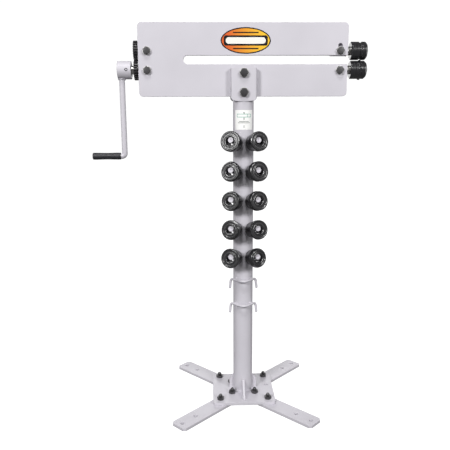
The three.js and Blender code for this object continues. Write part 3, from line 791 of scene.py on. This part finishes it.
def make_saddle(edge):
    for side, turn in (("front", 0), ("rear", math.pi)):
        low, high = span(f"saddle_{side}")
        shape = placed(saddle_shape(high.z, low.z, edge), at(FOOT.x, 0, 0), Matrix.Rotation(turn, 4, "Z"))
        piece(f"saddle_channel_{side}", shape, PAINT, "stand", f"saddle_{side}")
    seat = -POST_RADIUS - 0.3
    for level, back, nut in (("upper", 5.3, 5), ("lower", POST_RADIUS + 0.3, 10)):
        node = f"saddle_bolt_{level}"
        z = bolt_place(node).z
        bolt = hex_bolt(M12, back + nut - seat - 1)
        thread = placed(threaded(5.8, -2, 2.6, 1.75), at(0, 0, seat - back - nut + 1.6), UPSIDE_DOWN)
        grip_nut = placed(hexagon(M12["flats"], -nut, 0, True, True), at(0, 0, seat - back))
        turn = Matrix.Rotation(0.5, 4, "Z")
        shape = placed(joined(bolt, thread, grip_nut), at(FOOT.x, seat, z), TO_FRONT, turn)
        piece(f"saddle_hex_bolt_{level}", shape, FASTENER, "stand", node)
        washer = placed(flat_washer(M12), at(FOOT.x, seat, z), TO_FRONT)
        piece(f"saddle_washer_{level}", washer, ZINC, "stand")


# ---------- bearings ----------
def shaft_axis(level):
    joint = "upper_spin" if level == "upper" else "crank_spin"
    return Vector(JOINTS[joint]["pos_m"]) / MM


def carrier(level):
    return "upper_carrier" if level == "upper" else "stand"


def make_bearings(edge):
    """Each block with its bush, and the bolt and washer that hold it to the front of the throat plate."""
    for level, end, low, high in BLOCKS:
        axis = shaft_axis(level)
        make_block(level, end, low, high, axis, edge)
        make_bush(level, end, low, high, axis)
        node = f"block_bolt_{end}_{level}"
        place = bolt_place(node)
        turn = Matrix.Rotation({"rear": 0.2, "front": 0.45}[end], 4, "Z")
        seat = at(place.x, PLATE_LOW.y - 0.3, place.z)
        bolt = placed(hex_bolt(M10, 12.8), seat, TO_FRONT, turn)
        piece(f"block_hex_bolt_{end}_{level}", bolt, FASTENER, carrier(level), node)
        washer = placed(flat_washer(M10), seat, TO_FRONT)
        piece(f"block_washer_{end}_{level}", washer, ZINC, carrier(level))


def make_block(level, end, low, high, axis, edge):
    """A bored block. Its throat side slopes away behind the shaft, and its far rear corner is planed off."""
    cut, slope = 4, 5
    throat_side = [(low.y, low.z), (axis.y + 3, low.z), (high.y, low.z + slope)]
    outline = [(low.y, high.z), *throat_side, (high.y, high.z - cut), (high.y - cut, high.z)]
    if level == "lower":
        outline = [(y, low.z + high.z - z) for y, z in reversed(outline)]
    # The wall beside the bore is thin, so the edge round it is broken less.
    shape = plate(outline, [circle(axis.y, axis.z, 12.7, 48)], high.x - low.x, edge / 5)
    placed(shape, at(low.x, 0, 0), TO_SIDE)
    piece(f"bored_block_{end}_{level}", shape, PAINT, carrier(level), f"bearing_block_{end}_{level}")


def make_bush(level, end, low, high, axis):
    """A bush through a block, with its flange on the side away from the throat's middle."""
    bore, sleeve, flange, thick = 11.3, 12.4, 13.9, 1.5
    reach = (high.x - low.x) / 2
    seat = reach + 0.3
    profile = [(bore, -reach), (sleeve, -reach), (sleeve, seat)]
    profile += [(flange, seat), (flange, seat + thick), (bore, seat + thick)]
    way = Matrix.Rotation(math.pi, 4, "Z") if end == "rear" else Matrix.Identity(4)
    shape = turned(profile, closed=True, soft=0.35)
    placed(shape, at((low.x + high.x) / 2, axis.y, axis.z), way, ALONG_X)
    piece(f"flanged_bush_{end}_{level}", shape, BRONZE, carrier(level), f"bush_{end}_{level}")


def make_adjuster(edge):
    """The bracket behind the plate, with the screw that presses the front upper block down."""
    low, high = span("adjuster_bracket")
    middle = (low + high) / 2
    bore = shaft_axis("upper").y - middle.y
    outline = rounded_box(high.x - low.x, high.y - low.y, 5)
    shape = plate(outline, [circle(0, bore, 5.3)], high.z - low.z, edge)
    placed(shape, at(middle.x, middle.y, low.z))
    seam = weld([(middle.x - 15, 5.6, high.z + 0.6), (middle.x + 15, 5.6, high.z + 0.6)], 1.9)
    piece("adjuster_shelf", joined(shape, seam), PAINT, "stand", "adjuster_bracket")
    nut_low, nut_high = span("adjuster_lock_nut")
    nut = hexagon(M10["flats"], 0, nut_high.z - nut_low.z, True, True)
    placed(nut, at(middle.x, middle.y + bore, nut_low.z))
    piece("adjuster_jam_nut", nut, FASTENER, "stand", "adjuster_lock_nut")
    screw_low, screw_high = span("adjuster_screw")
    length = screw_high.z - screw_low.z
    neck = length - 7
    shank = placed(threaded(5, 0, neck, 1.5), at(0, 0, neck), UPSIDE_DOWN)
    head = hexagon(M10["flats"], neck, length)
    screw = placed(joined(shank, head), at(middle.x, middle.y + bore, screw_low.z))
    piece("adjuster_hex_screw", screw, FASTENER, "adjuster", "adjuster_screw")


# ---------- drive ----------
# A mounted die's outline, as (radius, distance from its rear face). The upper die's groove takes the ridge.
RIDGE = [(23, 22), (25.8, 24), (25.8, 26), (23, 28)]
GROOVE = [(23, 21), (20.3, 24), (20.3, 26), (23, 29)]
DIE_OUTLINES = {
    "lower": [(21, 0), (23, 2), *RIDGE, (23, 37), (18.5, 42)],
    "upper": [(21, 0), (23, 2), *GROOVE, (23, 38), (19, 42)],
}


# A tooth's flank from root to tip: the distance from the pitch circle, and half the tooth's share of a step.
FLANK = [(-2.8, 0.31), (-1.6, 0.27), (-0.3, 0.21), (0.9, 0.16), (1.7, 0.115)]


def gear_outline(teeth=24, module=2, phase=0.0):
    pitch = teeth * module / 2
    flank = [(pitch + out, share) for out, share in FLANK]
    tooth = [(radius, -share) for radius, share in flank] + flank[::-1]
    made = []
    for i in range(teeth):
        for radius, share in tooth:
            angle = math.tau * (i + share + phase) / teeth
            made.append((radius * math.cos(angle), radius * math.sin(angle)))
    return made


def make_drive(level):
    """A shaft with its gear, its die and the screw that holds the die on."""
    axis = shaft_axis(level)
    body = f"{level}_train"
    low, high = span(f"{level}_shaft")
    shaft = round_bar(SHAFT_RADIUS, low.x, high.x, 48, soft=1.2)
    placed(shaft, at(0, axis.y, axis.z), ALONG_X)
    piece(f"{level}_ground_shaft", shaft, STEEL, body, f"{level}_shaft")

    low, high = span(f"{level}_gear")
    face = high.x - low.x
    teeth = gear_outline(phase=0.5 if level == "upper" else 0.0)
    gear = plate(teeth, [circle(0, 0, 11.3, 48)], face, 0.35)
    collar = turned([(11.2, -0.2), (16, -0.2), (16, face + 0.3), (11.2, face + 0.3)], closed=True, soft=0.3)
    placed(gear, at(low.x, axis.y, axis.z), ALONG_X)
    placed(collar, at(low.x, axis.y, axis.z), ALONG_X)
    piece(f"{level}_spur_gear", joined(gear, collar), FASTENER, body, f"{level}_gear")

    low, high = span(f"{level}_die")
    face = high.x - low.x
    recess = [(14.5, face), (14, face - 0.8), (13, face - 0.8), (12.4, face), (11.3, face - 0.9)]
    die = turned([(11.3, 0), *DIE_OUTLINES[level], *recess], closed=True, steps=96, soft=0.45)
    placed(die, at(low.x, axis.y, axis.z), ALONG_X)
    piece(f"{level}_bead_die", die, POLISHED, body, f"{level}_die")

    flange = [(0, -16), (4, -16), (4, 0.3), (12.5, 0.3), (12.5, 2), (6.5, 2)]
    button = [(6.5, 3.6), (4.6, 5), (2.8, 5), (2.6, 2.8), (0, 2.8)]
    screw = turned(flange + button, steps=48, soft=0.4)
    placed(screw, at(high.x, axis.y, axis.z), ALONG_X)
    piece(f"{level}_die_button_screw", screw, STEEL, body, f"{level}_die_screw")


def make_crank(bead):
    """Hub, arm and foot in painted bar, and the plain spindle that the grip turns on."""
    axis = shaft_axis("lower")
    hub_high, hub_radius, arm_radius, throw = span("crank")[1].x, 23, 7.5, 222
    hub_low = hub_high - 35.5
    arm_x = hub_low + 9.5
    rebate, end = hub_high - 1, hub_high - 20
    bore = [(16.5, hub_high), (16, rebate), (11.4, rebate), (11.4, end), (0, end)]
    profile = [(0, hub_low), (hub_radius, hub_low), (hub_radius, hub_high), *bore]
    hub = placed(turned(profile, steps=80, soft=1.5), ALONG_X)
    elbow = 8
    bend = [(x, 0, z) for x, z in arc(arm_x - elbow, elbow - throw, elbow, 360, 270, 9)]
    route = [(arm_x, 0, 3 - hub_radius), (arm_x, 0, -100), *bend, (arm_x - elbow - 1.5, 0, -throw)]
    arm = swept([(point, arm_radius) for point in route], sides=28)
    round_arm = arc(arm_x, 0, arm_radius + 0.6, 0, 360, 28)
    rim = [(x, y, -math.sqrt(hub_radius**2 - y**2) - 0.4) for x, y in round_arm]
    shape = placed(joined(hub, arm, weld(rim, bead * 0.8)), at(0, axis.y, axis.z))
    piece("crank_hub_and_arm", shape, PAINT, "lower_train", "crank")
    set_screw = turned([(4, 0), (4, 1.2), (2.2, 1.2), (2, -1), (0, -1)], steps=32, soft=0.3)
    place = at(hub_low + 24, axis.y, axis.z) @ TO_FRONT @ at(0, 0, hub_radius - 0.6)
    piece("crank_set_screw", placed(set_screw, place), FASTENER, "lower_train")

    grip_axis = Vector(JOINTS["grip_spin"]["pos_m"]) / MM
    grip_low, grip_high = span("crank_grip")
    washer = turned([(5.3, 0.1), (8.6, 0.1), (8.6, 0.9), (5.3, 0.9)], closed=True, steps=40, soft=0.25)
    rod = round_bar(5.1, -68, 2, soft=0.6)
    spindle = placed(joined(washer, rod), at(grip_high.x, grip_axis.y, grip_axis.z), ALONG_X)
    piece("crank_spindle", spindle, STEEL, "lower_train")

    length, radius = grip_high.x - grip_low.x, 9.25
    steps = [i / 12 for i in range(13)]
    waist = [(radius - 0.55 * math.sin(math.pi * t) ** 2, 4.5 + (length - 9) * t) for t in steps]
    # A rounded end and a groove: the same at both ends, as (depth below the radius, distance from the end).
    end = [(1.2, 0), (0, 1.6), (0, 3.2), (0.5, 3.6), (0.5, 4.1)]
    near = [(radius - below, along) for below, along in end]
    far = [(radius - below, length - along) for below, along in reversed(end)]
    profile = [(0, 1.2), (3.4, 1.2), (3.8, 0), *near, *waist, *far, (5.5, length), (5.5, 6), (0, 6)]
    grip = placed(turned(profile), at(grip_low.x, grip_axis.y, grip_axis.z), ALONG_X)
    piece("turning_grip", grip, NYLON, "grip", "crank_grip")


# ---------- stored dies ----------
# Each form is the rim's outline from the hub to the front face, in (radius, depth below the face).
FORMS = {
    "left_1": [(26.2, 14), (26.2, 2), (24.2, 0)],
    "right_1": [(25.2, 14), (25.2, 2), (23.2, 0)],
    "left_2": [(22.2, 14), (26.2, 9), (26.2, 6), (23.2, 0)],
    "right_2": [(26.2, 14), (22.2, 8), (26.2, 2), (24.2, 0)],
    "left_3": [(23.2, 14), (26.2, 8), (23.2, 0)],
    "right_3": [(26.2, 14), (23.2, 8), (25.2, 1), (24.2, 0)],
    "left_4": [(26.2, 14), (26.2, 6), (22.2, 5), (22.2, 0)],
    "right_4": [(22.2, 14), (22.2, 7), (26.2, 6), (25.2, 0)],
    "left_5": [(21.2, 14), (26.2, 5), (26.2, 2), (24.2, 0)],
    "right_5": [(26.2, 14), (26.2, 9), (22.2, 1), (21.2, 0)],
}


def stored_die(form):
    """A forming die about Z: a rim, a long hub, and a dished face at z = 0 with a raised boss."""
    bore, hub, length, boss, dish = 11.3, 21, 40, 15.2, -1.3
    rim = [(radius, -below) for radius, below in form]
    lip = rim[-1][0] - 2.6
    face = [(lip, 0), (lip - 0.9, dish), (boss + 0.9, dish), (boss, 0), (bore + 1.3, 0), (bore, dish)]
    profile = [(bore, -length + 0.8), (bore + 0.8, -length), (hub, -length), (hub, -14), *rim, *face]
    return turned(profile, closed=True, steps=96, soft=0.55)


def make_stored_dies():
    """Every die on the pegs. The first one on the left has a small socket screw in its face."""
    for place, form in FORMS.items():
        shape = stored_die(form)
        if place == "left_1":
            socket = [(3.6, -0.7), (1.9, -0.7), (1.7, -1.6), (0, -1.6)]
            screw = turned([(0, -2), (3.6, -2), *socket], steps=32, soft=0.25)
            shape = joined(shape, placed(screw, at(11.5, -13.0, 0)))
        placed(shape, die_frame(place))
        piece(f"forming_die_{place}", shape, POLISHED, f"die_{place}", f"stored_die_{place}")


# ---------- stage ----------
def add_light(name, place, aim, power, size):
    """A round lamp that points at `aim`."""
    data = bpy.data.lights.new(name, "AREA")
    data.shape, data.size, data.energy = "DISK", size, power
    lamp = bpy.data.objects.new(name, data)
    lamp.location = place
    lamp.rotation_mode = "QUATERNION"
    lamp.rotation_quaternion = (Vector(aim) - Vector(place)).to_track_quat("-Z", "Y")
    bpy.context.scene.collection.objects.link(lamp)


def make_floor(size):
    """A white paper sweep, which shows only a faint shadow and sends little light back up."""
    bm = bmesh.new()
    bmesh.ops.create_circle(bm, cap_ends=True, segments=96, radius=size)
    mesh = bpy.data.meshes.new("paper floor")
    bm.to_mesh(mesh)
    bm.free()
    floor = bpy.data.objects.new("paper floor", mesh)
    bpy.context.scene.collection.objects.link(floor)
    paper = bpy.data.materials.new("white paper sweep")
    tree = emptied(paper)
    start, end = CLOUD_SPREAD
    ramp = {"Value": cloud(tree, 4, 3.0), "From Min": start, "From Max": end, "To Min": 0.985, "To Max": 1.0}
    fibres = add_node(tree, "ShaderNodeMapRange", inputs=ramp).outputs["Result"]
    glow = add_node(tree, "ShaderNodeEmission", inputs={"Color": (1, 1, 1, 1), "Strength": 1.24})
    matt = add_node(tree, "ShaderNodeBsdfDiffuse", inputs={"Color": fibres, "Roughness": 1.0})
    mixed = add_node(tree, "ShaderNodeMixShader", inputs={0: 0.22, 1: glow.outputs[0], 2: matt.outputs[0]})
    add_node(tree, "ShaderNodeOutputMaterial", inputs={"Surface": mixed.outputs[0]})
    mesh.materials.append(paper)
    floor.visible_diffuse = False
    floor.visible_glossy = False


def make_surroundings(ambient):
    """White to look at, but dim as a light, so that the lamps shape the object."""
    world = bpy.data.worlds.new("studio")
    bpy.context.scene.world = world
    tree = emptied(world)
    rays = add_node(tree, "ShaderNodeLightPath")
    seen = add_node(tree, "ShaderNodeBackground", inputs={"Color": (1, 1, 1, 1), "Strength": 1.05})
    light = add_node(tree, "ShaderNodeBackground", inputs={"Color": (1, 1, 1, 1), "Strength": ambient})
    choice = {0: rays.outputs["Is Camera Ray"], 1: light.outputs[0], 2: seen.outputs[0]}
    both = add_node(tree, "ShaderNodeMixShader", inputs=choice)
    add_node(tree, "ShaderNodeOutputWorld", inputs={"Surface": both.outputs[0]})


# Each lamp: its azimuth from the front, positive to the right, and its elevation, in degrees; its distance
# and its diameter, in metres; and its strength against the key power.
LAMPS = {
    "key left": (-34, 25, 6.0, 1.3, 0.52),
    "key right": (34, 24, 6.0, 1.3, 0.38),
    "overhead": (-8, 63, 6.0, 1.2, 0.3),
    "side fill left": (-105, 8, 4.0, 2.0, 0.035),
    "side fill right": (105, 8, 4.0, 2.0, 0.035),
    "rear fill": (180, 12, 4.0, 2.4, 0.08),
}


def make_lights(power, softness):
    aim = Vector((FOOT.x * MM, 0, 0.6))
    for name, (azimuth, elevation, distance, size, share) in LAMPS.items():
        turn, rise = math.radians(azimuth), math.radians(elevation)
        way = Vector((math.sin(turn) * math.cos(rise), -math.cos(turn) * math.cos(rise), math.sin(rise)))
        add_light(name, aim + way * distance, aim, power * share, size * softness)


def make_camera():
    """A camera in front of the machine: panned, then tilted down from the horizontal, then rolled."""
    place, pan, tilt, roll = (-0.0597, -1.4300, 0.7788), -1.88, 78.83, -0.25
    data = bpy.data.cameras.new("camera")
    data.lens, data.sensor_width = 42.85, 36
    camera = bpy.data.objects.new("camera", data)
    camera.matrix_world = at(*place)
    for angle, axis in ((pan, "Z"), (tilt, "X"), (roll, "Z")):
        camera.matrix_world = camera.matrix_world @ Matrix.Rotation(math.radians(angle), 4, axis)
    bpy.context.scene.collection.objects.link(camera)
    bpy.context.scene.camera = camera


# ---------- add-on ----------
class BeadRollerSizes(bpy.types.PropertyGroup):
    """Sizes of the finishing touches."""

    edge: FloatProperty(
        name="Plate edge", description="Radius that plate edges are broken to", default=0.0008, unit="LENGTH"
    )
    weld_bead: FloatProperty(
        name="Weld bead", description="Radius of the weld at the post's foot", default=0.0026, unit="LENGTH"
    )
    floor: FloatProperty(name="Floor", description="Radius of the paper floor", default=14.0, unit="LENGTH")


def colour(name, description, code):
    """A colour that a user can change, with its default as a hex code."""
    return FloatVectorProperty(name=name, description=description, subtype="COLOR", default=linear(code))


class BeadRollerColours(bpy.types.PropertyGroup):
    """Colours of the finishes."""

    paint: colour("Paint", "Powder coat on the stand and frame", "c9c6cd")
    black_oxide: colour("Black oxide", "Dies", "1e1d20")
    fastener: colour("Fasteners", "Bolts, nuts and gears", "232124")
    steel: colour("Steel", "Shafts and screws", "d2d1ce")
    zinc: colour("Zinc", "Washers", "d9d8d6")
    bronze: colour("Bronze", "Bearing bushes", "b4884f")
    plastic: colour("Grip", "The crank's grip", "242429")


class BeadRollerStudio(bpy.types.PropertyGroup):
    """The light on the object."""

    power: FloatProperty(name="Key power", description="Power of the key lamp", default=420.0, unit="POWER")
    softness: FloatProperty(name="Softness", description="Size of the lamps against the usual", default=1.0)
    ambient: FloatProperty(name="Ambient", description="Light that the surroundings give", default=0.15)


class BEADROLLER_OT_finishes(bpy.types.Operator):
    """Make the paint, metals, plastic and films"""

    bl_idname = "bead_roller.finishes"
    bl_label = "Finishes"

    def execute(self, context):
        make_finishes(context.scene.bead_roller_colours)
        return {"FINISHED"}


class BEADROLLER_OT_foot(bpy.types.Operator):
    """Make the foot: its plate, legs, bolts and gussets"""

    bl_idname = "bead_roller.foot"
    bl_label = "Foot"

    def execute(self, context):
        sizes = context.scene.bead_roller_sizes
        for corner, angle in CORNERS.items():
            make_leg(corner, angle, sizes.edge / MM)
        make_base(sizes.edge / MM)
        make_gussets(sizes.edge / MM, sizes.weld_bead / MM)
        return {"FINISHED"}


class BEADROLLER_OT_post(bpy.types.Operator):
    """Make the post with its pegs, tool hooks and label"""

    bl_idname = "bead_roller.post"
    bl_label = "Post"

    def execute(self, context):
        sizes = context.scene.bead_roller_sizes
        make_post(sizes.weld_bead / MM, sizes.edge / MM)
        make_hooks(sizes.weld_bead / MM)
        make_label()
        return {"FINISHED"}


class BEADROLLER_OT_frame(bpy.types.Operator):
    """Make the throat plate, its badge and the saddle that carries it"""

    bl_idname = "bead_roller.frame"
    bl_label = "Frame"

    def execute(self, context):
        edge = context.scene.bead_roller_sizes.edge / MM
        make_frame_plate(edge)
        make_badge()
        make_saddle(edge)
        return {"FINISHED"}


class BEADROLLER_OT_bearings(bpy.types.Operator):
    """Make the bearing blocks, bushes, block bolts and the adjuster"""

    bl_idname = "bead_roller.bearings"
    bl_label = "Bearings"

    def execute(self, context):
        edge = context.scene.bead_roller_sizes.edge / MM
        make_bearings(edge)
        make_adjuster(edge)
        return {"FINISHED"}


class BEADROLLER_OT_drive(bpy.types.Operator):
    """Make the two shafts with their gears and dies, and the crank"""

    bl_idname = "bead_roller.drive"
    bl_label = "Drive"

    def execute(self, context):
        for level in ("upper", "lower"):
            make_drive(level)
        make_crank(context.scene.bead_roller_sizes.weld_bead / MM)
        return {"FINISHED"}


class BEADROLLER_OT_stored_dies(bpy.types.Operator):
    """Make the ten forming dies on the post's pegs"""

    bl_idname = "bead_roller.stored_dies"
    bl_label = "Stored dies"

    def execute(self, context):
        make_stored_dies()
        return {"FINISHED"}


class BEADROLLER_OT_stage(bpy.types.Operator):
    """Make the floor, the surroundings, the lamps and the camera"""

    bl_idname = "bead_roller.stage"
    bl_label = "Stage"

    def execute(self, context):
        studio = context.scene.bead_roller_studio
        make_floor(context.scene.bead_roller_sizes.floor)
        make_surroundings(studio.ambient)
        make_lights(studio.power, studio.softness)
        make_camera()
        context.scene.view_settings.view_transform = "Standard"
        return {"FINISHED"}


OPERATORS = [
    BEADROLLER_OT_finishes,
    BEADROLLER_OT_foot,
    BEADROLLER_OT_post,
    BEADROLLER_OT_frame,
    BEADROLLER_OT_bearings,
    BEADROLLER_OT_drive,
    BEADROLLER_OT_stored_dies,
    BEADROLLER_OT_stage,
]


class BEADROLLER_PT_panel(bpy.types.Panel):
    """Lists the bead roller's operators, sizes, colours and light"""

    bl_label = "Bead Roller"
    bl_idname = "BEADROLLER_PT_panel"
    bl_space_type = "VIEW_3D"
    bl_region_type = "UI"
    bl_category = "Bead Roller"

    def draw(self, context):
        scene = context.scene
        for group in (scene.bead_roller_sizes, scene.bead_roller_colours, scene.bead_roller_studio):
            box = self.layout.box()
            for name in group.__annotations__:
                box.prop(group, name)
        for operator in OPERATORS:
            self.layout.operator(operator.bl_idname)


GROUPS = {
    "bead_roller_sizes": BeadRollerSizes,
    "bead_roller_colours": BeadRollerColours,
    "bead_roller_studio": BeadRollerStudio,
}


def register():
    for cls in [*GROUPS.values(), *OPERATORS, BEADROLLER_PT_panel]:
        bpy.utils.register_class(cls)
    for name, group in GROUPS.items():
        setattr(bpy.types.Scene, name, PointerProperty(type=group))


def unregister():
    for name in GROUPS:
        delattr(bpy.types.Scene, name)
    for cls in reversed([*GROUPS.values(), *OPERATORS, BEADROLLER_PT_panel]):
        bpy.utils.unregister_class(cls)


def main():
    register()
    for name in ("finishes", "foot", "post", "frame", "bearings", "drive", "stored_dies", "stage"):
        getattr(bpy.ops.bead_roller, name)()


if __name__ == "__main__":
    main()
